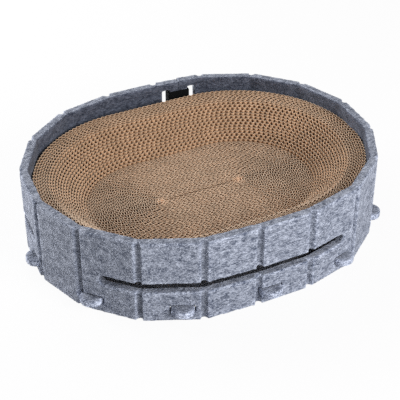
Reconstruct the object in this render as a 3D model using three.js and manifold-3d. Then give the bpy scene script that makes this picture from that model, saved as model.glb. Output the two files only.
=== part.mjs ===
// Cat scratcher: an oval felt bed around a dished pad wound from corrugated board strip.
// Millimetres, +Z up. The origin is on the floor under the middle of the oval, with +X along its
// length and the front towards -Y. Places around the wall are lengths u along its outer outline,
// from the middle of the front, clockwise as seen from above.
import * as THREE from 'three';
import { mergeVertices } from 'three/addons/utils/BufferGeometryUtils.js';
import Module from 'manifold-3d';

const wasm = await Module();
wasm.setup();

// Fits
const FIT = 0.3; // gap between pieces that touch
const PASS = 2; // how far a cut runs past the faces that it goes through

// Felt wall: a grooved strip bent into an oval ring
const WALL_CORE = 100; // distance between the centres of the two round ends
const WALL_RADIUS = 200; // outer radius of a round end, at the grooves
const WALL_HEIGHT = 120;
const FELT = 12;
const FIRST_GROOVE = 20; // from the middle of the front
const SIDE_PANEL = 76; // width of each of the two panels along a long side
const END_PANELS = 7; // panels around each end
const GROOVE_WIDTH = 9;
const GROOVE_FLOOR = 6; // width at the bottom of a groove
const GROOVE_DEPTH = 5;
const SHOULDER = 1.2; // rounding of a groove's edges
const SEAM = 0.4; // gap between the strip's two ends

// Paw slots through the wall: one in front and two behind, all of one length
const SLOT_SPACING = 130; // felt left between two slots
const SLOT_MARGIN = 75; // felt left between a rear slot and the seam
const SLOT_BOTTOM = 44.5;
const SLOT_HEIGHT = 14;

// Felt base plate with tabs through the wall
const PLATE = 9.5;
const PLATE_BOTTOM = 12.5;
const TABS = 12;
const TAB_SHIFT = 2; // first tab, from the middle of the front
const TAB_WIDTH = 30;
const TAB_REACH = 13.5; // how far a tab stands out of the wall
const TAB_PLAY = 1.5; // room beside and above a tab in its slot
const TAB_ROOT = 15; // length of a tab inside the wall, joined to the plate

// Scratch pad: strips on edge, wound in one spiral round a straight core
const PAD_SIDE_ROOM = 9.8; // between the wall's inner faces and the outer end of the spiral
const PAD_END_PLAY = 0.4; // between the wall's inner faces and the last turn, at the ends of the oval
const PAD_TURNS = 24;
const PAD_STRIPS = 8;
const STRIP_HEIGHT = 29;
const STRIP_GAP = 0.6; // between turns, and between the ends of two strips
const DISH_SLOPE = 47.5; // width of the slope, from its foot to the lip
const DISH_DEPTH = 44; // top of the slope above the dish's floor
const LIP_WIDTH = 23.5; // from the slope to the pad's edge
const LIP_RISE = 5.5;
const ARC_STEPS = 11; // steps around each end of a turn

// Closure strap through two slits beside the seam
const STRAP_WIDTH = 50;
const STRAP_THICKNESS = 2;
const STRAP_DROP = 14; // from the wall's upper edge to the strap's
const SLIT_SPACING = 41;
const SLIT_WIDTH = 13;
const SLIT_PLAY = 3; // slit left above and below the strap
const STRAP_END = 27; // length of the strap's end on the outside, under the flap
const FLAP_LENGTH = 28;
const PATCH_THICKNESS = 1.2;
const PATCH_LENGTH = 21;
const PATCH_MARGIN = 3; // strap left bare above and below a patch

const felt = () => new THREE.MeshStandardMaterial({ color: 0x8a92a3, roughness: 0.95, metalness: 0 });
const board = () => new THREE.MeshStandardMaterial({ color: 0xb08a63, roughness: 0.9, metalness: 0 });
const webbing = () => new THREE.MeshStandardMaterial({ color: 0x1a1d20, roughness: 0.8, metalness: 0 });

// Solids for joining and cutting
function toSolid(geometry) {
	const bare = geometry.clone();
	bare.deleteAttribute('normal');
	bare.deleteAttribute('uv');
	const merged = mergeVertices(bare);
	return new wasm.Manifold(new wasm.Mesh({
		numProp: 3,
		vertProperties: Float32Array.from(merged.attributes.position.array),
		triVerts: Uint32Array.from(merged.index.array),
	}));
}

function toGeometry(solid) {
	const { vertProperties, triVerts } = solid.getMesh();
	const geometry = new THREE.BufferGeometry();
	geometry.setAttribute('position', new THREE.BufferAttribute(vertProperties, 3));
	geometry.setIndex(new THREE.BufferAttribute(triVerts, 1));
	geometry.computeVertexNormals();
	return geometry;
}

function prism(shape, bottom, height) {
	const geometry = new THREE.ExtrudeGeometry(shape, { depth: height, bevelEnabled: false });
	return geometry.translate(0, 0, bottom);
}

function named(name, geometry, material) {
	const mesh = new THREE.Mesh(geometry, material);
	mesh.name = name;
	return mesh;
}

// Outline of an oval: two round ends joined by straight sides
function ovalPoint(core, radius, u) {
	const arc = Math.PI * radius;
	const along = THREE.MathUtils.euclideanModulo(u + core / 2, 2 * (core + arc));
	const front = along < core + arc;
	const side = front ? 1 : -1;
	const run = front ? along : along - core - arc;
	if (run < core) {
		return new THREE.Vector2(side * (core / 2 - run), -side * radius);
	}
	const turn = (run - core) / radius;
	return new THREE.Vector2(
		-side * (core / 2 + radius * Math.sin(turn)),
		-side * radius * Math.cos(turn),
	);
}

// Grooves lie on the oval, and the panels between them are flat
const PERIMETER = 2 * (WALL_CORE + Math.PI * WALL_RADIUS);
const END_PANEL = (PERIMETER / 2 - 2 * SIDE_PANEL) / END_PANELS;
const halfPanels = [SIDE_PANEL, ...Array(END_PANELS).fill(END_PANEL), SIDE_PANEL];
const panelWidths = [...halfPanels, ...halfPanels];
const grooves = [FIRST_GROOVE];
for (const width of panelWidths) {
	grooves.push(grooves.at(-1) + width);
}

const panels = panelWidths.map((width, i) => {
	const start = ovalPoint(WALL_CORE, WALL_RADIUS, grooves[i]);
	const end = ovalPoint(WALL_CORE, WALL_RADIUS, grooves[i + 1]);
	const along = end.clone().sub(start).normalize();
	const out = new THREE.Vector2(-along.y, along.x);
	return { start, end, along, out, from: grooves[i], width };
});
const before = (index) => panels.at(index - 1);

// The strip's middle is in front, and its ends meet in the panel opposite
const STRIP_MIDDLE = FIRST_GROOVE + SIDE_PANEL / 2;
const SEAM_PLACE = STRIP_MIDDLE + PERIMETER / 2;
const SLOT_LENGTH = (PERIMETER - 2 * SLOT_SPACING - 2 * SLOT_MARGIN) / 3;
const STRAP_BOTTOM = WALL_HEIGHT - STRAP_DROP - STRAP_WIDTH;

// Point of the wall's outer face at u, moved out by the given distance
function wallPlace(u, out = 0) {
	const lap = FIRST_GROOVE + THREE.MathUtils.euclideanModulo(u - FIRST_GROOVE, PERIMETER);
	const panel = panels.findLast(({ from }) => from <= lap);
	const point = panel.start.clone().lerp(panel.end, (lap - panel.from) / panel.width);
	return { panel, point: point.addScaledVector(panel.out, out) };
}

// Corner at the start of a panel, moved out from both of its faces by the given distance
function cornerPlace(index, out) {
	const { start, out: normal } = panels[index];
	const middle = before(index).out.clone().add(normal).normalize();
	return start.clone().addScaledVector(middle, out / middle.dot(normal));
}

// Panels that start between two places on the wall, in order
function cornersBetween(from, to) {
	const firstLap = Math.floor((from - FIRST_GROOVE) / PERIMETER);
	const laps = [firstLap, firstLap + 1];
	const corners = laps.flatMap((lap) => panels.map((panel, index) => ({ u: panel.from + lap * PERIMETER, index })));
	return corners.filter(({ u }) => u > from && u < to).map(({ index }) => index);
}

// Points along the wall between two places, moved out by the given distance
function wallRun(from, to, out) {
	const corners = cornersBetween(from, to).map((index) => cornerPlace(index, out));
	return [wallPlace(from, out).point, ...corners, wallPlace(to, out).point];
}

// Frame on the wall's outer face: X along the panel, Y out of it and Z up
function wallFrame(u) {
	const { panel, point } = wallPlace(u);
	const frame = new THREE.Matrix4().makeRotationZ(Math.atan2(panel.along.y, panel.along.x));
	return frame.setPosition(point.x, point.y, 0);
}

// Section of the groove at the start of a panel: rounded shoulders and sloping sides
function groovePoints(index) {
	const rounded = SHOULDER * (1 - Math.SQRT1_2);
	const flank = [
		[GROOVE_WIDTH / 2 + SHOULDER, 0],
		[GROOVE_WIDTH / 2 + rounded, rounded],
		[GROOVE_WIDTH / 2, SHOULDER],
		[GROOVE_FLOOR / 2, GROOVE_DEPTH],
	];
	const corner = panels[index].start;
	const side = ({ along, out }, sign) => flank.map(([across, depth]) => (
		corner.clone().addScaledVector(along, sign * across).addScaledVector(out, -depth)
	));
	return [...side(before(index), -1), ...side(panels[index], 1).reverse()];
}

// Box cut through the wall, moved along the panel from u by the given offset. It runs on inside the
// ring, so that it also clears the next panel where it lies across a corner.
function wallCut(u, offset, width, bottom, height) {
	const depth = PASS + FELT + TAB_ROOT + PASS;
	const box = new THREE.BoxGeometry(width, depth, height);
	box.translate(offset, PASS - depth / 2, bottom + height / 2);
	return toSolid(box.applyMatrix4(wallFrame(u)));
}

// Long round-ended slot that follows the wall
function pawSlot(middle) {
	const radius = SLOT_HEIGHT / 2;
	const ends = [middle - SLOT_LENGTH / 2 + radius, middle + SLOT_LENGTH / 2 - radius];
	const outline = [...wallRun(...ends, PASS), ...wallRun(...ends, -FELT - PASS).reverse()];
	const slot = toSolid(prism(new THREE.Shape(outline), SLOT_BOTTOM, SLOT_HEIGHT));
	return ends.reduce((cut, u) => {
		const end = new THREE.CylinderGeometry(radius, radius, FELT + 2 * PASS, 24);
		end.translate(0, -FELT / 2, SLOT_BOTTOM + radius);
		return cut.add(toSolid(end.applyMatrix4(wallFrame(u))));
	}, slot);
}

const tabPlaces = Array.from({ length: TABS }, (_, i) => TAB_SHIFT + i * PERIMETER / TABS);

function feltWall() {
	const from = SEAM_PLACE + SEAM / 2;
	const to = SEAM_PLACE + PERIMETER - SEAM / 2;
	const outline = [
		wallPlace(from).point,
		...cornersBetween(from, to).flatMap(groovePoints),
		wallPlace(to).point,
		...wallRun(from, to, -FELT).reverse(),
	];
	const slotStep = SLOT_LENGTH + SLOT_SPACING;
	const slitHeight = STRAP_WIDTH + 2 * SLIT_PLAY;
	const slitBottom = STRAP_BOTTOM - SLIT_PLAY;
	const tabSlotHeight = FIT + PLATE + TAB_PLAY;
	const cuts = [
		...[-slotStep, 0, slotStep].map((step) => pawSlot(STRIP_MIDDLE + step)),
		...tabPlaces.map((u) => wallCut(u, 0, TAB_WIDTH + 2 * TAB_PLAY, PLATE_BOTTOM - FIT, tabSlotHeight)),
		wallCut(SEAM_PLACE, -SLIT_SPACING / 2, SLIT_WIDTH, slitBottom, slitHeight),
		wallCut(SEAM_PLACE, SLIT_SPACING / 2, SLIT_WIDTH, slitBottom, slitHeight),
	];
	const strip = toSolid(prism(new THREE.Shape(outline), 0, WALL_HEIGHT));
	return named('felt_wall', toGeometry(cuts.reduce((wall, cut) => wall.subtract(cut), strip)), felt());
}

// The plate fills the ring, and each tab runs from inside it to a half-round end outside the wall
function basePlate() {
	const outline = panels.map((_, index) => cornerPlace(index, -FELT - FIT));
	const tab = new THREE.Shape();
	tab.moveTo(TAB_WIDTH / 2, -FELT - TAB_ROOT);
	tab.lineTo(TAB_WIDTH / 2, 0);
	tab.absellipse(0, 0, TAB_WIDTH / 2, TAB_REACH, 0, Math.PI);
	tab.lineTo(-TAB_WIDTH / 2, -FELT - TAB_ROOT);
	const plate = tabPlaces.reduce(
		(whole, u) => whole.add(toSolid(prism(tab, PLATE_BOTTOM, PLATE).applyMatrix4(wallFrame(u)))),
		toSolid(prism(new THREE.Shape(outline), PLATE_BOTTOM, PLATE)),
	);
	return named('base_plate', toGeometry(plate), felt());
}

// Winding of the pad. A turn has a straight step along the front, an arc around the left end, a
// straight step along the back and an arc around the right end, and it grows by one pitch. Its
// radii are from the core line, and the last turn's right end lies against the wall's panels.
const TURN_STEPS = 2 * (ARC_STEPS + 1);
const END_ROOM = WALL_RADIUS * Math.cos(END_PANEL / 2 / WALL_RADIUS) - FELT;
const PAD_RADIUS = END_ROOM - PAD_SIDE_ROOM;
const PITCH = (PAD_RADIUS + STRIP_GAP / 2) / (PAD_TURNS + 1);
const STRIP = PITCH - STRIP_GAP;
const LAST_END = PAD_RADIUS - PITCH * ARC_STEPS / 2 / TURN_STEPS;
const PAD_CORE = WALL_CORE + 2 * (END_ROOM - PAD_END_PLAY - LAST_END);
const PAD_SEAT = PLATE_BOTTOM + PLATE + FIT;
const LIP_START = PAD_RADIUS - LIP_WIDTH;
const DISH_FOOT = LIP_START - DISH_SLOPE;

function dishTop(radius) {
	const slope = THREE.MathUtils.clamp((radius - DISH_FOOT) / DISH_SLOPE, 0, 1);
	const lip = Math.max(0, radius - LIP_START) / LIP_WIDTH;
	return PAD_SEAT + STRIP_HEIGHT + DISH_DEPTH * slope + LIP_RISE * lip;
}

// Station of the winding: the strip's inner and outer edge, seen from above, and its top
function station(step) {
	const half = Math.floor(step / (ARC_STEPS + 1));
	const stepInHalf = step - half * (ARC_STEPS + 1);
	const side = half % 2 === 0 ? 1 : -1;
	const angle = Math.PI * Math.max(0, stepInHalf - 1) / ARC_STEPS;
	const centre = (stepInHalf === 0 ? 1 : -1) * side * PAD_CORE / 2;
	const radius = PITCH * (step / TURN_STEPS + 0.5);
	const edge = (distance) => new THREE.Vector2(
		centre - side * distance * Math.sin(angle),
		-side * distance * Math.cos(angle),
	);
	return { inner: edge(radius - STRIP / 2), outer: edge(radius + STRIP / 2), top: dishTop(radius) };
}

const stations = Array.from({ length: PAD_TURNS * TURN_STEPS + 1 }, (_, step) => station(step));
const windLengths = [0];
for (let i = 1; i < stations.length; i += 1) {
	windLengths.push(windLengths[i - 1] + stations[i].outer.distanceTo(stations[i - 1].outer));
}

// Station at a length along the winding
function stationAt(length) {
	const last = stations.length - 2;
	const i = Math.min(last, windLengths.findLastIndex((reached) => reached <= length));
	const share = (length - windLengths[i]) / (windLengths[i + 1] - windLengths[i]);
	const [a, b] = [stations[i], stations[i + 1]];
	return {
		inner: a.inner.clone().lerp(b.inner, share),
		outer: a.outer.clone().lerp(b.outer, share),
		top: THREE.MathUtils.lerp(a.top, b.top, share),
	};
}

// Least gap between two turns, from each point of an outer edge to the inner edges outside it
function leastGap() {
	const line = new THREE.Line3();
	const point = new THREE.Vector3();
	const nearest = new THREE.Vector3();
	const flat = ({ x, y }) => new THREE.Vector3(x, y, 0);
	const inner = stations.map((each) => flat(each.inner));
	let least = Infinity;
	stations.forEach(({ outer }, i) => {
		point.copy(flat(outer));
		for (let j = i + TURN_STEPS / 2; j < inner.length - 1; j += 1) {
			line.set(inner[j], inner[j + 1]).closestPointToPoint(point, true, nearest);
			least = Math.min(least, nearest.distanceTo(point));
		}
	});
	return least;
}
console.log(`Scratch pad: ${PAD_TURNS} turns, least gap between them ${leastGap().toFixed(2)} mm`);

// Unbroken strip of the winding between two lengths
function padStrip(name, from, to) {
	const between = stations.filter((_, i) => windLengths[i] > from && windLengths[i] < to);
	const run = [stationAt(from), ...between, stationAt(to)];
	const corners = run.flatMap(({ inner, outer, top }) => [
		[inner.x, inner.y, top],
		[outer.x, outer.y, top],
		[outer.x, outer.y, top - STRIP_HEIGHT],
		[inner.x, inner.y, top - STRIP_HEIGHT],
	]);
	const faces = [];
	for (let ring = 0; ring < run.length - 1; ring += 1) {
		for (let k = 0; k < 4; k += 1) {
			const a = 4 * ring + k;
			const b = 4 * ring + (k + 1) % 4;
			faces.push(a, a + 4, b, b, a + 4, b + 4);
		}
	}
	const end = 4 * (run.length - 1);
	faces.push(0, 1, 2, 0, 2, 3, end, end + 2, end + 1, end, end + 3, end + 2);
	const geometry = new THREE.BufferGeometry();
	geometry.setAttribute('position', new THREE.Float32BufferAttribute(corners.flat(), 3));
	geometry.setIndex(faces);
	geometry.computeVertexNormals();
	return named(name, geometry, board());
}

// The winding is cut into strips of one length, laid end to end from the core outwards
function scratchPad() {
	const length = windLengths.at(-1) / PAD_STRIPS;
	return Array.from({ length: PAD_STRIPS }, (_, i) => {
		const from = i * length + STRIP_GAP / 2;
		const to = (i + 1) * length - STRIP_GAP / 2;
		return padStrip(`scratch_strip_${i + 1}`, from, to);
	});
}

// Plan of a band of even thickness along a line of points
function band(points, thickness) {
	const directions = points.slice(1).map((point, i) => point.clone().sub(points[i]).normalize());
	const side = (sign) => points.map((point, i) => {
		const into = directions[Math.max(0, i - 1)];
		const onward = directions[Math.min(directions.length - 1, i)];
		const normal = new THREE.Vector2(-into.y, into.x);
		const middle = normal.clone().add(new THREE.Vector2(-onward.y, onward.x)).normalize();
		return point.clone().addScaledVector(middle, sign * thickness / 2 / middle.dot(normal));
	});
	return new THREE.Shape([...side(1), ...side(-1).reverse()]);
}

// The strap lies inside the wall, comes out through both slits and closes on itself outside: its
// left end lies on the wall under a patch, and its right end is the flap that peels open.
function closureStrap() {
	const leg = SLIT_SPACING / 2 - SLIT_WIDTH / 2 + FIT + STRAP_THICKNESS / 2;
	const inside = -FELT - FIT - STRAP_THICKNESS / 2;
	const outside = FIT + STRAP_THICKNESS / 2;
	const hook = outside + STRAP_THICKNESS / 2 + FIT + PATCH_THICKNESS / 2;
	const loop = hook + PATCH_THICKNESS + FIT;
	const flap = loop + PATCH_THICKNESS / 2 + FIT + STRAP_THICKNESS / 2;
	const route = [
		new THREE.Vector2(STRAP_END - leg, outside),
		new THREE.Vector2(-leg, outside),
		new THREE.Vector2(-leg, inside),
		new THREE.Vector2(leg, inside),
		new THREE.Vector2(leg, flap - STRAP_THICKNESS / 2 - FIT),
	];
	const flapShape = new THREE.Shape();
	flapShape.moveTo(leg - FLAP_LENGTH, flap - STRAP_THICKNESS / 2);
	flapShape.absarc(leg, flap, STRAP_THICKNESS / 2, -Math.PI / 2, Math.PI / 2);
	flapShape.lineTo(leg - FLAP_LENGTH, flap + STRAP_THICKNESS / 2);
	const patch = (y) => {
		const box = new THREE.BoxGeometry(PATCH_LENGTH, PATCH_THICKNESS, STRAP_WIDTH - 2 * PATCH_MARGIN);
		return box.translate(STRAP_END / 2 - leg, y, STRAP_BOTTOM + STRAP_WIDTH / 2);
	};
	const closure = new THREE.Group();
	closure.applyMatrix4(wallFrame(SEAM_PLACE));
	closure.add(
		named('closure_strap', prism(band(route, STRAP_THICKNESS), STRAP_BOTTOM, STRAP_WIDTH), webbing()),
		named('hook_patch', patch(hook), webbing()),
		named('strap_flap', prism(flapShape, STRAP_BOTTOM, STRAP_WIDTH), webbing()),
		named('loop_patch', patch(loop), webbing()),
	);
	return closure;
}

const scratcher = new THREE.Group();
scratcher.add(feltWall(), basePlate(), ...scratchPad(), closureStrap());

export default scratcher;
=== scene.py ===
import bisect
import math

import bmesh
import bpy
import numpy as np
from bpy.props import FloatProperty, FloatVectorProperty, IntProperty, PointerProperty
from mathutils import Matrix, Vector, noise


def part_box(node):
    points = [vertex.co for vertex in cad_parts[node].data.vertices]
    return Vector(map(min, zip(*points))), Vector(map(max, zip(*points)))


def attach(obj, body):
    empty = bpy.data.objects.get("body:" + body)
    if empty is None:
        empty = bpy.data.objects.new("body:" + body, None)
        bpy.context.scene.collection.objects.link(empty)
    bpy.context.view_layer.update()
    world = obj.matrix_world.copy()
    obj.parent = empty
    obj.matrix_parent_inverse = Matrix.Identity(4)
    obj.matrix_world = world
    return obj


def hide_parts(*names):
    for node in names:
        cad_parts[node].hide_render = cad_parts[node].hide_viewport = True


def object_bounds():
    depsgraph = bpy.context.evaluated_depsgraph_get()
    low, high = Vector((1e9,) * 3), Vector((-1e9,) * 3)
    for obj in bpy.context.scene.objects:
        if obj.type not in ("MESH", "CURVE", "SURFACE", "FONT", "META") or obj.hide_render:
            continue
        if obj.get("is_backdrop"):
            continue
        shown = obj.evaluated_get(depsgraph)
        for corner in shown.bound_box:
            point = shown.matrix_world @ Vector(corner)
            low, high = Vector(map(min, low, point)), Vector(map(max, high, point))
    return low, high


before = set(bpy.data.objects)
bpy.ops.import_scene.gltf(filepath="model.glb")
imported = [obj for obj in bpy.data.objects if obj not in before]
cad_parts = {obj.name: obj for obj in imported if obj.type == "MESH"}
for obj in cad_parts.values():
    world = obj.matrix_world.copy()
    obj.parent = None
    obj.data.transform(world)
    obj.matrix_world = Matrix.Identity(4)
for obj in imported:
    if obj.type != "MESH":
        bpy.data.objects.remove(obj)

bl_info = {
    "name": "Cat scratcher looks",
    "version": (1, 0, 0),
    "blender": (4, 5, 0),
    "location": "3D View > Sidebar > Scratcher",
    "description": "Felt wall, felt base, wound board pad and strap of an oval cat scratcher",
    "category": "Object",
}

CAD_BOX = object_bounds()

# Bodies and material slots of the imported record
BED, PAD, FLAP = "bed", "pad", "flap"
FELT, BOARD, STRAP, HOOK, LOOP = "felt", "board", "strap", "hook", "loop"

# Nodes of the frame that several pieces are measured from
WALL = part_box("felt_wall")
STRIP_NODES = [name for name in sorted(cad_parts) if name.startswith("scratch_strip_")]
FIRST_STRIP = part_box(STRIP_NODES[0])
LAST_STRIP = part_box(STRIP_NODES[-1])


class FeltLook(bpy.types.PropertyGroup):
    """Pressed felt of the wall and the base plate"""
    cell: FloatProperty(
        name="Cell", description="Size of the felt mesh's faces", default=0.0015, unit="LENGTH")
    faces: IntProperty(
        name="Triangles", description="Most triangles in a piece of felt", default=190000)
    unevenness: FloatProperty(
        name="Unevenness", description="Height of the felt's soft waves", default=0.0005, unit="LENGTH")
    # Painted highlight on edges and painted shade in hollows take their full tone at this height or depth
    relief: FloatProperty(
        name="Relief", description="Height of an edge, or depth of a hollow, that takes the full tone",
        default=0.0011, unit="LENGTH")
    dark: FloatVectorProperty(
        name="Dark fibre", description="Colour of the darkest fibres", subtype="COLOR",
        default=(0.068, 0.084, 0.13))
    light: FloatVectorProperty(
        name="Light fibre", description="Colour of the lightest fibres", subtype="COLOR",
        default=(0.52, 0.56, 0.67))
    # Darker tone of the wall's inner face
    inner_face: FloatVectorProperty(
        name="Lining", description="Tone of the wall's inner face against the outer one", subtype="COLOR",
        default=(0.3, 0.315, 0.355))
    # Darker cut felt with painted shade, deep in the wall's slots
    ledge: FloatProperty(
        name="Ledge", description="Tone of the level cut faces inside the wall's slots", default=0.88,
        subtype="FACTOR")
    # Darker cut felt with painted shade, on the level tops of the rim and of the tabs
    rim: FloatProperty(
        name="Rim", description="Tone of the wall's rim and of the level faces of the tabs", default=0.84,
        subtype="FACTOR")
    # Painted highlight on the upright sides of the tabs
    tab: FloatProperty(
        name="Tab", description="Tone of the upright sides of the base plate's tabs", default=1.225)
    # Painted shade on the base plate under the pad
    inside: FloatProperty(
        name="Inside", description="Tone of the base plate under the pad", default=0.55, subtype="FACTOR")
    rim_depth: FloatProperty(
        name="Rim depth", description="How far under the wall's top the tone of its rim reaches",
        default=0.006, unit="LENGTH")
    seam: FloatVectorProperty(
        name="Seam", description="Where the wall's two ends meet", subtype="TRANSLATION",
        default=(0.0578, 0.1974, 0.0))
    seam_turn: FloatProperty(
        name="Seam turn", description="How far the panel with the seam turns from the length of the bed",
        default=math.radians(-4.0), subtype="ANGLE")
    seam_width: FloatProperty(
        name="Seam width", description="Half the width of the furrow between the two ends", default=0.0012,
        unit="LENGTH")
    seam_step: FloatProperty(
        name="Seam step", description="How much higher the right end stands", default=0.0012, unit="LENGTH")
    seam_reach: FloatProperty(
        name="Seam reach", description="Length of the right end over which it comes level again",
        default=0.04, unit="LENGTH")


class PadShape(bpy.types.PropertyGroup):
    """Wound corrugated board of the scratch pad"""
    turns: IntProperty(
        name="Turns", description="Turns of board around the core", default=52)
    flute: FloatProperty(
        name="Flute", description="Length of one wave of the corrugation", default=0.00745, unit="LENGTH")
    slip: FloatProperty(
        name="Slip", description="How far the waves drift from an even spacing", default=0.5,
        subtype="ANGLE")
    slip_rate: FloatProperty(
        name="Slip rate", description="How often the drift changes in a metre of strip", default=9.0)
    sheet: FloatProperty(
        name="Paper thickness", description="Thickness of the flat and the waved paper", default=0.00068,
        unit="LENGTH")
    core: FloatProperty(
        name="Core", description="Length of the straight core line", default=0.122, unit="LENGTH")
    crushed: FloatProperty(
        name="Crushed", description="Reach of the crushed paper around the two ends of the core",
        default=0.01, unit="LENGTH")
    crushed_tone: FloatProperty(
        name="Crushed tone", description="Tone of the crushed paper against the rest", default=1.45)
    recess: FloatProperty(
        name="Recess", description="How far the flat paper's edges lie under the waved paper's",
        default=0.0025, unit="LENGTH")
    floor_recess: FloatProperty(
        name="Floor recess", description="The same on the straight part of the dish's floor",
        default=0.001, unit="LENGTH")
    # Painted shade between two plies is darkest at this depth
    shade_depth: FloatProperty(
        name="Dark depth", description="Depth between two plies where the paper is darkest", default=0.0034,
        unit="LENGTH")
    # Painted shade in a bare hollow is darkest at this depth
    hollow_shade_depth: FloatProperty(
        name="Hollow depth", description="Depth in a bare hollow where the paper is darkest", default=0.0025,
        unit="LENGTH")
    slope: FloatProperty(
        name="Slope", description="Width of the dish's slope", default=0.0475, unit="LENGTH")
    depth: FloatProperty(
        name="Depth", description="Top of the slope above the dish's floor", default=0.044, unit="LENGTH")
    lip: FloatProperty(
        name="Lip", description="Width from the slope to the pad's edge", default=0.0235, unit="LENGTH")
    lip_rise: FloatProperty(
        name="Lip rise", description="Rise from the slope to the pad's edge", default=0.0055, unit="LENGTH")
    paper: FloatVectorProperty(
        name="Paper", description="Colour of the brown paper", subtype="COLOR", default=(0.67, 0.435, 0.27))
    # Colour of the painted shade deep in the flutes
    dark: FloatVectorProperty(
        name="Dark", description="Colour of the paper deep in the flutes", subtype="COLOR",
        default=(0.17, 0.074, 0.032))
    cut: FloatVectorProperty(
        name="Cut edge", description="Colour of the paper's cut edges", subtype="COLOR",
        default=(0.91, 0.71, 0.535))


class StrapLook(bpy.types.PropertyGroup):
    """Black woven strap and its patches"""
    edge: FloatProperty(
        name="Edge", description="Rounding of the strap's edges", default=0.0006, unit="LENGTH")
    yarn: FloatVectorProperty(
        name="Yarn", description="Colour of the strap's yarn", subtype="COLOR",
        default=(0.0028, 0.0032, 0.0038))


class StageSetup(bpy.types.PropertyGroup):
    """Camera, floor and lights"""
    lens: FloatProperty(
        name="Lens", description="Focal length on a 36 mm sensor, in millimetres", default=94.5)
    place: FloatVectorProperty(
        name="Camera", description="Where the camera stands", subtype="TRANSLATION",
        default=(-0.5607, -1.0859, 0.8699))
    heading: FloatProperty(
        name="Heading", description="How far the view turns from the back to the right",
        default=math.radians(27.23), subtype="ANGLE")
    tilt: FloatProperty(
        name="Tilt", description="How far the view looks down", default=math.radians(34.37), subtype="ANGLE")
    floor_reach: FloatProperty(
        name="Floor", description="Distance from the middle of the floor to its sides", default=4.0,
        unit="LENGTH")
    floor_white: FloatProperty(
        name="Floor white", description="Share of plain white in the floor that the camera sees",
        default=0.93, subtype="FACTOR")
    sky: FloatProperty(
        name="Sky", description="Strength of the light from all around", default=0.13)
    softbox: FloatProperty(
        name="Softbox", description="Width of each softbox", default=1.0, unit="LENGTH")


# Meshes and materials

MERGE_DISTANCE = 1e-6  # points of a CAD node that are one point
FLAT_ANGLE = math.radians(0.5)  # faces of a CAD node that are one face


def new_piece(name, mesh, body, slot, node):
    """Object of a finished mesh that rides on a body and stands for a CAD node"""
    piece = bpy.data.objects.new(name, mesh)
    bpy.context.scene.collection.objects.link(piece)
    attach(piece, body)
    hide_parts(node)


def merged_copy(node):
    """Closed bmesh of a CAD node"""
    bm = bmesh.new()
    bm.from_mesh(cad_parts[node].data)
    bmesh.ops.remove_doubles(bm, verts=bm.verts, dist=MERGE_DISTANCE)
    bmesh.ops.dissolve_limit(bm, angle_limit=FLAT_ANGLE, verts=bm.verts, edges=bm.edges)
    return bm


def to_mesh(bm, name):
    """Smooth mesh of a bmesh, which is freed"""
    for face in bm.faces:
        face.smooth = True
    mesh = bpy.data.meshes.new(name)
    bm.to_mesh(mesh)
    bm.free()
    return mesh


def add_node(tree, kind, inputs=None, **settings):
    """Shader node with its settings and its inputs, which are values or sockets"""
    made = tree.nodes.new(kind)
    for name, value in settings.items():
        setattr(made, name, value)
    for name, value in (inputs or {}).items():
        if isinstance(value, bpy.types.NodeSocket):
            tree.links.new(value, made.inputs[name])
        else:
            made.inputs[name].default_value = value
    return made


def new_material(name, sockets):
    """Material with a Principled shader, and its node tree"""
    material = bpy.data.materials.new(name)
    material.use_nodes = True
    shader = material.node_tree.nodes["Principled BSDF"]
    for socket, value in sockets.items():
        shader.inputs[socket].default_value = value
    return material, material.node_tree, shader


def rgba(colour):
    """Colour with full cover"""
    return (*colour, 1.0)


def object_coords(tree):
    """Places on a piece"""
    return add_node(tree, "ShaderNodeTexCoord").outputs["Object"]


def point_mark(tree, name):
    """Number that a piece's points carry under a name"""
    return add_node(tree, "ShaderNodeAttribute", attribute_name=name).outputs["Fac"]


def camera_sees(tree):
    """One where the camera looks straight at it, and zero elsewhere"""
    return add_node(tree, "ShaderNodeLightPath").outputs["Is Camera Ray"]


def speckles(tree, coords, scale, detail):
    """Noise of the same size all ways"""
    return add_node(
        tree, "ShaderNodeTexNoise", {"Vector": coords, "Scale": scale, "Detail": detail}).outputs["Fac"]


def streaks(tree, coords, turn, scale, detail=2.0):
    """Noise drawn out into fibres: turned by Euler angles, then scaled by axis"""
    placed = add_node(tree, "ShaderNodeMapping", {"Vector": coords, "Rotation": turn, "Scale": scale})
    return speckles(tree, placed.outputs["Vector"], 1.0, detail)


def combine(tree, a, b, operation):
    """Two values put together by an operation"""
    return add_node(tree, "ShaderNodeMath", {0: a, 1: b}, operation=operation).outputs[0]


def add_up(tree, weighted):
    """Sum of values, each times its weight"""
    total = None
    for value, weight in weighted:
        part = combine(tree, value, weight, "MULTIPLY")
        total = part if total is None else combine(tree, total, part, "ADD")
    return total


def remap(tree, value, source, target=(0.0, 1.0), **settings):
    """Value brought from one range to another"""
    return add_node(
        tree, "ShaderNodeMapRange",
        {"Value": value, "From Min": source[0], "From Max": source[1],
         "To Min": target[0], "To Max": target[1]},
        **settings).outputs["Result"]


def colour_ramp(tree, value, *stops):
    """Colour by a value, through stops of a position and a colour"""
    ramp = add_node(tree, "ShaderNodeValToRGB", {"Fac": value})
    elements = ramp.color_ramp.elements
    first, *middle, last = stops
    for element, (position, colour) in zip(elements, (first, last)):
        element.position = position
        element.color = rgba(colour)
    for position, colour in middle:
        elements.new(position).color = rgba(colour)
    return ramp.outputs["Color"]


def paint(tree, shader, colour, level):
    """Base colour of a shader: a colour times a level"""
    toned = add_node(tree, "ShaderNodeVectorMath", {0: colour, "Scale": level}, operation="SCALE")
    tree.links.new(toned.outputs["Vector"], shader.inputs["Base Color"])


def add_bumps(tree, shader, height, strength, distance):
    """Bumps of a shader by a height"""
    bump = add_node(tree, "ShaderNodeBump", {"Height": height, "Strength": strength, "Distance": distance})
    tree.links.new(bump.outputs["Normal"], shader.inputs["Normal"])


# Felt

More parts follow.
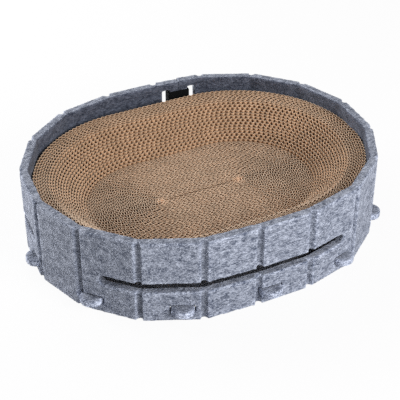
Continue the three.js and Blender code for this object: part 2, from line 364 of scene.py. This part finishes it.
RELIEF_PASSES = 5  # smoothing passes on the surface that edges and hollows are measured from
LEVEL_SLANT = (0.35, 0.75)  # upright part of a normal, from where a face counts as level to where it is
INWARD_SLANT = (0.3, 0.7)  # inward part of a normal, from where a face counts as the wall's darker inner face to where it is
CUT_SLACK = 1e-5  # points this near to a cut lie on it
NO_TINT = (1.0, 1.0, 1.0)  # tint that leaves a colour as it is
TINT_LOW, TINT_HIGH = 9, 10  # sockets of a Map Range node for the two ends of a range of tints

# Unevenness of the felt: name, size of its bumps and share of their height
BUMPS = (("Waves", 0.02, 1.0), ("Fuzz", 0.003, 0.6))

# Euler angles of the layers of fibres
FIBRE_TURNS = ((0.4, 0.2, 0.3), (1.2, 0.7, 1.5), (2.1, 1.1, 2.6), (0.8, 2.3, 0.9))


def felt_material(look):
    """Mottled pressed felt: blotches, crossing fibres and fine fuzz, with a painted highlight on edges and
    painted shade in hollows
    """
    material, tree, shader = new_material("pressed_felt", {
        "Roughness": 0.95, "Sheen Weight": 0.15, "Sheen Roughness": 0.6, "Specular IOR Level": 0.2})
    coords = object_coords(tree)
    blotches = streaks(tree, coords, (0.0, 0.0, 0.0), (85.0, 85.0, 125.0), detail=4.0)
    fibres = None
    for turn in FIBRE_TURNS:
        layer = streaks(tree, coords, turn, (190.0, 500.0, 500.0))
        fibres = layer if fibres is None else combine(tree, fibres, layer, "MAXIMUM")
    fuzz = speckles(tree, coords, 520.0, 2.0)
    fibre_light = remap(tree, fibres, (0.52, 0.7))
    blotch_light = remap(tree, blotches, (0.36, 0.66))
    fuzz_light = remap(tree, fuzz, (0.3, 0.7))
    tone = add_up(tree, ((fibre_light, 0.45), (blotch_light, 0.27), (fuzz_light, 0.28)))
    colour = colour_ramp(tree, tone, (0.15, look.dark), (0.85, look.light))
    # Darker tone on the wall's inner face
    inner_tint = add_node(
        tree, "ShaderNodeMapRange",
        {"Vector": point_mark(tree, "inner_face"), TINT_LOW: NO_TINT, TINT_HIGH: look.inner_face},
        data_type="FLOAT_VECTOR").outputs["Vector"]
    # Painted shade in hollows, down to half the colour, and a painted highlight on edges, up to 1.6 times it
    level = remap(tree, point_mark(tree, "relief"), (-1.0, 1.0), (0.5, 1.6))
    # Tone by face: darker cut felt with painted shade on level faces, a painted highlight on the tabs'
    # sides, painted shade under the pad
    face_tone = point_mark(tree, "face_tone")
    tinted = add_node(tree, "ShaderNodeVectorMath", {0: colour, 1: inner_tint}, operation="MULTIPLY")
    paint(tree, shader, tinted.outputs["Vector"], combine(tree, level, face_tone, "MULTIPLY"))
    add_bumps(tree, shader, combine(tree, fibre_light, fuzz, "ADD"), 0.6, 0.0008)
    return material


def felt_mesh(context, node, look):
    """Sheet of a CAD node turned into felt: even faces, rounded edges, soft waves and fuzz"""
    sheet = bpy.data.objects.new(node, to_mesh(merged_copy(node), node))
    context.scene.collection.objects.link(sheet)
    remesh = sheet.modifiers.new("Even faces", "REMESH")
    remesh.mode = "VOXEL"
    remesh.voxel_size = look.cell
    remesh.use_smooth_shade = True
    rounding = sheet.modifiers.new("Rounded edges", "SMOOTH")
    rounding.factor = 0.5
    rounding.iterations = 3
    for name, scale, share in BUMPS:
        clouds = bpy.data.textures.new(f"{node} {name}", "CLOUDS")
        clouds.noise_scale = scale
        displace = sheet.modifiers.new(name, "DISPLACE")
        displace.texture = clouds
        displace.texture_coords = "LOCAL"
        displace.strength = look.unevenness * share
        displace.mid_level = 0.5
    even = evaluated_mesh(context, sheet)
    thinning = sheet.modifiers.new("Fewer faces", "DECIMATE")
    thinning.ratio = min(1.0, look.faces / (2 * len(even.polygons)))
    mesh = evaluated_mesh(context, sheet)
    bpy.data.meshes.remove(even)
    bpy.data.objects.remove(sheet)
    return mesh


def evaluated_mesh(context, piece):
    """Mesh of an object with its modifiers applied"""
    return bpy.data.meshes.new_from_object(piece.evaluated_get(context.evaluated_depsgraph_get()))


def points(mesh, kind):
    """Places or normals of a mesh's points"""
    flat = np.empty(3 * len(mesh.vertices))
    mesh.vertices.foreach_get(kind, flat)
    return flat.reshape(-1, 3)


def add_attribute(mesh, name, values):
    """Number on each point of a mesh, for its material"""
    attribute = mesh.attributes.new(name, "FLOAT", "POINT")
    attribute.data.foreach_set("value", values.astype(np.float32))


def paint_relief_light_and_shade(mesh, full):
    """Painted light and shade of each point: above zero for a painted highlight on edges, below zero for
    painted shade in hollows
    """
    places = points(mesh, "co")
    ends = np.empty(2 * len(mesh.edges), dtype=np.int64)
    mesh.edges.foreach_get("vertices", ends)
    first, second = ends.reshape(-1, 2).T
    neighbours = np.maximum(1, np.bincount(ends, minlength=len(places)))[:, None]
    smooth = places
    for _ in range(RELIEF_PASSES):
        sums = np.zeros_like(smooth)
        np.add.at(sums, first, smooth[second])
        np.add.at(sums, second, smooth[first])
        smooth = sums / neighbours
    relief = ((places - smooth) * points(mesh, "normal")).sum(axis=1)
    add_attribute(mesh, "relief", np.clip(relief / full, -1.0, 1.0))


def from_core(mesh):
    """Way from the wall's core line to each point of a mesh, in plan"""
    places = points(mesh, "co")
    half_core = WALL[1].x - WALL[1].y
    centres = np.clip(places[:, 0], -half_core, half_core)
    return np.stack([places[:, 0] - centres, places[:, 1]], axis=1)


def tone_wall(mesh, look):
    """Share of each point of the wall that lies on its darker inner face, and its tone on its level cut
    faces: darker cut felt with painted shade on the rim and in the slots
    """
    ways = from_core(mesh)
    facing = (ways * points(mesh, "normal")[:, :2]).sum(axis=1) / np.linalg.norm(ways, axis=1)
    add_attribute(mesh, "inner_face", share_between(-facing, INWARD_SLANT))
    # Level faces take darker cut felt with painted shade, with one tone on the rim and one in the slots
    on_rim = points(mesh, "co")[:, 2] > WALL[1].z - look.rim_depth
    tones = np.where(on_rim, look.rim, look.ledge)
    add_attribute(mesh, "face_tone", 1 + level_share(mesh) * (tones - 1))


def tone_base(mesh, look):
    """Tone of each point of the base plate: darker cut felt with painted shade on the tabs' level tops, a
    painted highlight on their upright sides, and painted shade under the pad
    """
    # Painted highlight on the tabs' upright sides, darker cut felt with painted shade on their tops
    tabs = look.tab + level_share(mesh) * (look.rim - look.tab)
    # Painted shade on the plate under the pad
    under_pad = np.linalg.norm(from_core(mesh), axis=1) < -LAST_STRIP[0].y
    add_attribute(mesh, "face_tone", np.where(under_pad, look.inside, tabs))


def level_share(mesh):
    """Share of each point that lies level"""
    return share_between(np.abs(points(mesh, "normal")[:, 2]), LEVEL_SLANT)


def share_between(values, limits):
    """Values stretched from the limits to 0..1"""
    low, high = limits
    return np.clip((values - low) / (high - low), 0.0, 1.0)


def cut_seam(mesh, look):
    """Furrow across the wall where its two ends meet, the right one a little higher"""
    along = Vector((math.cos(look.seam_turn), math.sin(look.seam_turn), 0.0))
    seam = Vector(look.seam)
    cut_reach = look.seam_reach / 2
    bm = bmesh.new()
    bm.from_mesh(mesh)
    for offset in (-look.seam_width, 0.0, look.seam_width):
        near = [face for face in bm.faces if (face.calc_center_median().xy - seam.xy).length < cut_reach]
        edges = dict.fromkeys(edge for face in near for edge in face.edges)
        verts = dict.fromkeys(vert for face in near for vert in face.verts)
        bmesh.ops.bisect_plane(
            bm, geom=[*near, *edges, *verts], dist=CUT_SLACK,
            plane_co=seam + along * offset, plane_no=along)
    bm.normal_update()
    for vert in bm.verts:
        across = (vert.co - seam).dot(along)
        if vert.co.y < 0.0 or abs(across) > look.seam_reach:
            continue
        if abs(across) < look.seam_width / 2:
            vert.co -= vert.normal * look.seam_width
        elif across > 0.0:
            vert.co.z += look.seam_step * (1 - across / look.seam_reach) * vert.co.z / CAD_BOX[1].z
    bm.to_mesh(mesh)
    bm.free()


def make_felt(look, node, mesh, relief):
    """Felt piece of a mesh made from a CAD node, whose edges take the full painted highlight, and its
    hollows the full painted shade, at a relief
    """
    paint_relief_light_and_shade(mesh, relief)
    mesh.materials.append(bpy.data.materials.get("pressed_felt") or felt_material(look))
    new_piece(f"{node}_felt", mesh, BED, FELT, node)


class SCRATCHER_OT_felt_wall(bpy.types.Operator):
    """Make the grooved felt wall"""
    bl_idname = "scratcher.felt_wall"
    bl_label = "Felt wall"

    def execute(self, context):
        look = context.scene.scratcher_felt
        mesh = felt_mesh(context, "felt_wall", look)
        cut_seam(mesh, look)
        tone_wall(mesh, look)
        make_felt(look, "felt_wall", mesh, look.relief)
        return {"FINISHED"}


class SCRATCHER_OT_base_plate(bpy.types.Operator):
    """Make the tabbed felt base plate"""
    bl_idname = "scratcher.base_plate"
    bl_label = "Base plate"

    def execute(self, context):
        look = context.scene.scratcher_felt
        mesh = felt_mesh(context, "base_plate", look)
        tone_base(mesh, look)
        make_felt(look, "base_plate", mesh, look.relief / 2)
        return {"FINISHED"}


# Board

# Marks on the paper's points: share of the depth, recess of the edge, hollow side, share that the next ply
# leaves bare, and crushed share.
# The depth, the hollow side and the bare share steer the painted shade between plies and in hollows
PAPER_MARKS = ("depth", "recess", "hollow", "bare", "crushed")
FLAT_STEPS = 4  # steps of the flat paper along one wave
WAVE_STEPS = 10  # steps of the waved paper along one wave
FULL_HOLLOW = 0.8  # share of a wave's height at which its hollow takes the full painted shade
PAPER_CREASE = math.radians(50)  # angle over which the paper's edges are sharp


class Winding:
    """Line of a strip wound around a straight core, by its length from the inner end"""

    def __init__(self, core, radius, turns):
        self.core = core
        self.pitch = radius / (turns + 0.5)
        self.starts = [0.0]
        for half in range(2 * turns):
            arc = math.pi * (self.half_radius(half) + self.pitch / 4)
            self.starts.append(self.starts[-1] + core + arc)
        self.length = self.starts[-1]
        self.outer_reach = self.half_radius(2 * turns)

    def half_radius(self, half):
        """Radius at the start of a half turn"""
        return self.pitch * (half + 1) / 2

    def place(self, length):
        """Centre, direction outwards and radius of the strip's line"""
        half = min(len(self.starts) - 2, bisect.bisect_right(self.starts, length) - 1)
        side = 1 if half % 2 == 0 else -1
        run = length - self.starts[half]
        start = self.half_radius(half)
        if run < self.core:
            return Vector((side * (self.core / 2 - run), 0.0)), Vector((0.0, -side)), start
        growth = self.pitch / (2 * math.pi)
        angle = (math.sqrt(start ** 2 + 2 * growth * (run - self.core)) - start) / growth
        centre = Vector((-side * self.core / 2, 0.0))
        outwards = Vector((-side * math.sin(angle), -side * math.cos(angle)))
        return centre, outwards, start + growth * angle


class Dish:
    """Height of the pad's top by its distance from the core line"""

    def __init__(self, shape, radius):
        self.floor = FIRST_STRIP[1].z
        self.strip_height = FIRST_STRIP[1].z - FIRST_STRIP[0].z
        self.shape = shape
        self.lip_start = radius - shape.lip
        self.foot = self.lip_start - shape.slope

    def top(self, radius):
        """Height at a distance from the core line"""
        slope = min(1.0, max(0.0, radius - self.foot) / self.shape.slope)
        lip = max(0.0, radius - self.lip_start) / self.shape.lip
        return self.floor + self.shape.depth * slope + self.shape.lip_rise * lip


def ribbon(bm, line, height):
    """Upright ribbon under a line of points, which come with their marks"""
    layers = [bm.verts.layers.float[name] for name in PAPER_MARKS]
    depth, recess = layers[:2]
    verts = []
    for point, *marks in line:
        vert = bm.verts.new(point)
        for layer, mark in zip(layers, marks):
            vert[layer] = mark
        verts.append(vert)
    edges = [bm.edges.new(pair) for pair in zip(verts, verts[1:])]
    made = bmesh.ops.extrude_edge_only(bm, edges=edges)["geom"]
    lower = [part for part in made if isinstance(part, bmesh.types.BMVert)]
    for vert in verts:
        vert.co.z -= vert[recess]
    for vert in lower:
        vert.co.z += vert[recess] - height
        vert[depth] = 1.0


def paper_material(name, roughness):
    """Material of dull paper, and its node tree"""
    return new_material(name, {"Roughness": roughness, "Specular IOR Level": 0.15})


def colour_paper(tree, shader, shape, colour):
    """Uneven paper of a colour, lighter where it is crushed, with flecks"""
    coords = object_coords(tree)
    patches = speckles(tree, coords, 45.0, 3.0)
    flecks = speckles(tree, coords, 700.0, 3.0)
    tone = add_up(tree, ((patches, 0.4), (flecks, 0.6)))
    level = remap(tree, tone, (0.3, 0.7), (0.75, 1.25))
    lift = remap(tree, point_mark(tree, "crushed"), (0.0, 1.0), (1.0, shape.crushed_tone))
    paint(tree, shader, colour, combine(tree, level, lift, "MULTIPLY"))
    add_bumps(tree, shader, flecks, 0.3, 0.0002)


def flute_material(shape, height, name, side):
    """Side of the paper, inner (1) or outer (-1): painted shade between two plies, and in its bare hollows
    """
    material, tree, shader = paper_material(name, 0.9)
    depth, hollow, bare = (point_mark(tree, mark) for mark in ("depth", "hollow", "bare"))
    hollowness = remap(tree, hollow, (0.0, FULL_HOLLOW * side), interpolation_type="SMOOTHSTEP")
    from_top, from_bottom = depth, combine(tree, 1.0, depth, "SUBTRACT")
    edge = combine(tree, from_top, from_bottom, "MINIMUM")
    if side > 0:
        from_top = combine(tree, from_top, bare, "SUBTRACT")
    else:
        from_bottom = combine(tree, from_bottom, bare, "SUBTRACT")
    between = combine(tree, combine(tree, from_top, from_bottom, "MINIMUM"), 0.0, "MAXIMUM")
    # Painted shade: the paper darkens towards the dark colour between plies and in bare hollows
    shade = add_up(tree, (
        (between, height / shape.shade_depth),
        (combine(tree, edge, hollowness, "MULTIPLY"), height / shape.hollow_shade_depth)))
    paper, dark = Vector(shape.paper), Vector(shape.dark)
    colour = colour_ramp(tree, shade, (0.0, paper), (0.4, paper * 0.4 + dark * 0.2), (1.0, dark))
    colour_paper(tree, shader, shape, colour)
    return material


def cut_material(shape):
    """Light cut edges of the paper"""
    material, tree, shader = paper_material("cut_paper", 0.95)
    colour_paper(tree, shader, shape, shape.cut)
    return material


class SCRATCHER_OT_scratch_pad(bpy.types.Operator):
    """Make the wound board of the scratch pad, one piece for each strip"""
    bl_idname = "scratcher.scratch_pad"
    bl_label = "Scratch pad"

    def execute(self, context):
        shape = context.scene.scratcher_pad
        radius = -LAST_STRIP[0].y
        winding = Winding(shape.core, radius, shape.turns)
        dish = Dish(shape, radius)
        materials = (
            flute_material(shape, dish.strip_height, "paper_inside", 1),
            flute_material(shape, dish.strip_height, "paper_outside", -1),
            cut_material(shape),
        )
        share = winding.length / len(STRIP_NODES)
        for index, node in enumerate(STRIP_NODES):
            bm = self.sheets(shape, winding, dish, index * share, (index + 1) * share)
            mesh = self.thick_mesh(context, bm, shape.sheet, materials)
            new_piece(f"{node}_board", mesh, PAD, BOARD, node)
        return {"FINISHED"}

    def sheets(self, shape, winding, dish, start, end):
        """Winding between two lengths: a flat liner with waves glued on its inner side"""
        bm = bmesh.new()
        for name in PAPER_MARKS:
            bm.verts.layers.float.new(name)
        crest = winding.pitch / 2 - shape.sheet
        turn = 2 * math.pi / shape.flute

        def flat(length, reach, bend):
            """Offset outwards, recess, hollow side and bare share of the flat paper"""
            last = reach > winding.outer_reach - winding.pitch
            sunk = max(bend, min(1.0, (dish.top(reach) - dish.floor) / shape.recess))
            recess = shape.floor_recess + (shape.recess - shape.floor_recess) * sunk
            return (winding.pitch - shape.sheet) / 2, recess, 0.0, 1.0 if last else 0.0

        def wave(length, reach, bend):
            """The same of the waved paper"""
            slip = shape.slip * noise.noise((length * shape.slip_rate, 0.0, 0.0))
            outward = math.sin(turn * length + slip)
            bare = (dish.top(reach) - dish.top(reach - winding.pitch)) / dish.strip_height
            return crest * outward - shape.sheet / 2, 0.0, outward, bare

        def run(step, sheet):
            """Points of a paper's upper edge with their marks"""
            count = round((end - start) / step)
            for i in range(count + 1):
                length = start + (end - start) * i / count
                centre, outwards, reach = winding.place(length)
                out, recess, hollow, bare = sheet(length, reach, abs(outwards.x))
                place = centre + outwards * (reach + out)
                core_end = Vector((math.copysign(winding.core / 2, place.x), 0.0))
                crushed = max(0.0, 1 - (place - core_end).length / shape.crushed)
                top = Vector((*place, dish.top(reach)))
                yield top, 0.0, recess, hollow * (1 - crushed), max(bare, crushed), crushed

        ribbon(bm, run(shape.flute / FLAT_STEPS, flat), dish.strip_height)
        ribbon(bm, run(shape.flute / WAVE_STEPS, wave), dish.strip_height)
        return bm

    def thick_mesh(self, context, bm, thickness, materials):
        """Sheets made into thick paper, with materials for the inner side, the outer side and the cuts"""
        sheet = bpy.data.objects.new("sheet", to_mesh(bm, "sheet"))
        context.scene.collection.objects.link(sheet)
        for material in materials:
            sheet.data.materials.append(material)
        solidify = sheet.modifiers.new("Paper", "SOLIDIFY")
        solidify.thickness = thickness
        solidify.offset = 0.0
        solidify.material_offset = 1
        solidify.material_offset_rim = 2
        mesh = evaluated_mesh(context, sheet)
        mesh.set_sharp_from_angle(angle=PAPER_CREASE)
        bpy.data.objects.remove(sheet)
        return mesh


# Strap

BAND_CREASE = math.radians(20)  # angle over which the strap's edges are rounded

# Patterns of the strap's materials by slot: name, node, its inputs and settings, and its output
BAND_PATTERNS = {
    STRAP: (
        "webbing", "ShaderNodeTexWave", {"Scale": 500.0, "Distortion": 1.0, "Detail": 1.0},
        {"wave_type": "BANDS", "bands_direction": "DIAGONAL"}, "Fac"),
    HOOK: ("hook_tape", "ShaderNodeTexVoronoi", {"Scale": 700.0, "Randomness": 0.3}, {}, "Distance"),
    LOOP: ("loop_tape", "ShaderNodeTexNoise", {"Scale": 900.0, "Detail": 4.0, "Distortion": 2.0}, {}, "Fac"),
}


def band_material(look, slot):
    """Black webbing with a fine twill, tape with rows of hooks, or tape with matted loops"""
    name, kind, inputs, settings, output = BAND_PATTERNS[slot]
    material, tree, shader = new_material(name, {"Roughness": 0.85, "Specular IOR Level": 0.15})
    inputs = {"Vector": object_coords(tree), **inputs}
    pattern = add_node(tree, kind, inputs, **settings).outputs[output]
    yarn = Vector(look.yarn)
    colour = colour_ramp(tree, pattern, (0.0, yarn * 0.5), (1.0, yarn * 2.5))
    tree.links.new(colour, shader.inputs["Base Color"])
    add_bumps(tree, shader, pattern, 0.8, 0.0004)
    return material


def make_band(context, node, body, slot):
    """Strap piece of a CAD node, with rounded edges"""
    look = context.scene.scratcher_strap
    bm = merged_copy(node)
    sharp = [edge for edge in bm.edges if edge.calc_face_angle(0.0) > BAND_CREASE]
    bmesh.ops.bevel(
        bm, geom=sharp, offset=look.edge, offset_type="OFFSET", affect="EDGES", segments=3,
        profile=0.5, material=-1, clamp_overlap=True)
    mesh = to_mesh(bm, node)
    mesh.materials.append(bpy.data.materials.get(BAND_PATTERNS[slot][0]) or band_material(look, slot))
    new_piece(f"{node}_band", mesh, body, slot, node)


class SCRATCHER_OT_closure_strap(bpy.types.Operator):
    """Make the closure strap and its hook patch"""
    bl_idname = "scratcher.closure_strap"
    bl_label = "Closure strap"

    def execute(self, context):
        make_band(context, "closure_strap", BED, STRAP)
        make_band(context, "hook_patch", BED, HOOK)
        return {"FINISHED"}


class SCRATCHER_OT_strap_flap(bpy.types.Operator):
    """Make the strap's flap and its loop patch"""
    bl_idname = "scratcher.strap_flap"
    bl_label = "Strap flap"

    def execute(self, context):
        make_band(context, "strap_flap", FLAP, STRAP)
        make_band(context, "loop_patch", FLAP, LOOP)
        return {"FINISHED"}


# Stage

WHITE = (1.0, 1.0, 1.0, 1.0)
FLOOR_GREY = (0.9, 0.9, 0.9, 1.0)

# Softboxes: name, place in metres and power in watts
SOFTBOXES = (
    ("front softbox", (0.57, -1.58, 0.95), 31.0),
    ("left softbox", (-1.17, 1.40, 0.58), 36.0),
    ("back softbox", (0.0, 1.34, 1.40), 10.0),
)
LIGHT_AIM = Vector((0.0, 0.0, 0.06))


class SCRATCHER_OT_stage(bpy.types.Operator):
    """Make the camera, the floor and the lights"""
    bl_idname = "scratcher.stage"
    bl_label = "Stage"

    def execute(self, context):
        setup = context.scene.scratcher_stage
        self.make_camera(context, setup)
        self.make_floor(context, setup)
        self.make_lights(context, setup)
        context.scene.view_settings.view_transform = "Standard"
        context.scene.cycles.use_denoising = False
        return {"FINISHED"}

    def make_camera(self, context, setup):
        """Camera that looks down on the bed from its front"""
        camera = bpy.data.objects.new("Camera", bpy.data.cameras.new("Camera"))
        camera.data.lens = setup.lens
        camera.data.sensor_width = 36.0
        camera.location = setup.place
        camera.rotation_euler = (math.pi / 2 - setup.tilt, 0.0, -setup.heading)
        context.scene.collection.objects.link(camera)
        context.scene.camera = camera

    def make_floor(self, context, setup):
        """Pale floor, almost plain white to the camera"""
        bm = bmesh.new()
        bmesh.ops.create_grid(bm, x_segments=1, y_segments=1, size=setup.floor_reach)
        floor = bpy.data.objects.new("floor", to_mesh(bm, "floor"))
        context.scene.collection.objects.link(floor)
        material, tree, shader = new_material("pale_floor", {"Roughness": 0.8, "Base Color": FLOOR_GREY})
        white = add_node(tree, "ShaderNodeEmission", {"Color": WHITE, "Strength": 1.0})
        factor = combine(tree, camera_sees(tree), setup.floor_white, "MULTIPLY")
        mixed = add_node(
            tree, "ShaderNodeMixShader",
            {"Fac": factor, 1: shader.outputs["BSDF"], 2: white.outputs["Emission"]})
        tree.links.new(mixed.outputs["Shader"], tree.nodes["Material Output"].inputs["Surface"])
        floor.data.materials.append(material)
        floor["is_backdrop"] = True

    def make_lights(self, context, setup):
        """Dim light from all around, white to the camera, and three softboxes"""
        world = bpy.data.worlds.new("Studio")
        context.scene.world = world
        world.use_nodes = True
        tree = world.node_tree
        back = tree.nodes["Background"]
        back.inputs["Color"].default_value = WHITE
        strength = remap(tree, camera_sees(tree), (0.0, 1.0), (setup.sky, 1.0))
        tree.links.new(strength, back.inputs["Strength"])
        for name, place, power in SOFTBOXES:
            lamp = bpy.data.lights.new(name, "AREA")
            lamp.size = setup.softbox
            lamp.energy = power
            light = bpy.data.objects.new(name, lamp)
            light.location = place
            aim = LIGHT_AIM - Vector(place)
            light.rotation_euler = aim.to_track_quat("-Z", "Y").to_euler()
            context.scene.collection.objects.link(light)


class SCRATCHER_PT_pieces(bpy.types.Panel):
    """Pieces of the scratcher and their settings"""
    bl_idname = "SCRATCHER_PT_pieces"
    bl_label = "Cat scratcher"
    bl_space_type = "VIEW_3D"
    bl_region_type = "UI"
    bl_category = "Scratcher"

    def draw(self, context):
        for operator in OPERATORS:
            self.layout.operator(operator.bl_idname)
        for name in SETTINGS:
            group = getattr(context.scene, name)
            box = self.layout.box()
            for setting in group.bl_rna.properties:
                if not setting.is_readonly and setting.identifier != "name":
                    box.prop(group, setting.identifier)


SETTINGS = {
    "scratcher_felt": FeltLook,
    "scratcher_pad": PadShape,
    "scratcher_strap": StrapLook,
    "scratcher_stage": StageSetup,
}
OPERATORS = (
    SCRATCHER_OT_stage,
    SCRATCHER_OT_felt_wall,
    SCRATCHER_OT_base_plate,
    SCRATCHER_OT_scratch_pad,
    SCRATCHER_OT_closure_strap,
    SCRATCHER_OT_strap_flap,
)


def register():
    for group in SETTINGS.values():
        bpy.utils.register_class(group)
    for operator in OPERATORS:
        bpy.utils.register_class(operator)
    bpy.utils.register_class(SCRATCHER_PT_pieces)
    for name, group in SETTINGS.items():
        setattr(bpy.types.Scene, name, PointerProperty(type=group))


def unregister():
    for name in SETTINGS:
        delattr(bpy.types.Scene, name)
    bpy.utils.unregister_class(SCRATCHER_PT_pieces)
    for operator in reversed(OPERATORS):
        bpy.utils.unregister_class(operator)
    for group in reversed(SETTINGS.values()):
        bpy.utils.unregister_class(group)


def main():
    register()
    for operator in OPERATORS:
        module, name = operator.bl_idname.split(".")
        getattr(getattr(bpy.ops, module), name)()
    boxes = {"cad": CAD_BOX, "visual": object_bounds()}
    {name: [list(corner) for corner in box] for name, box in boxes.items()}


if __name__ == "__main__":
    main()
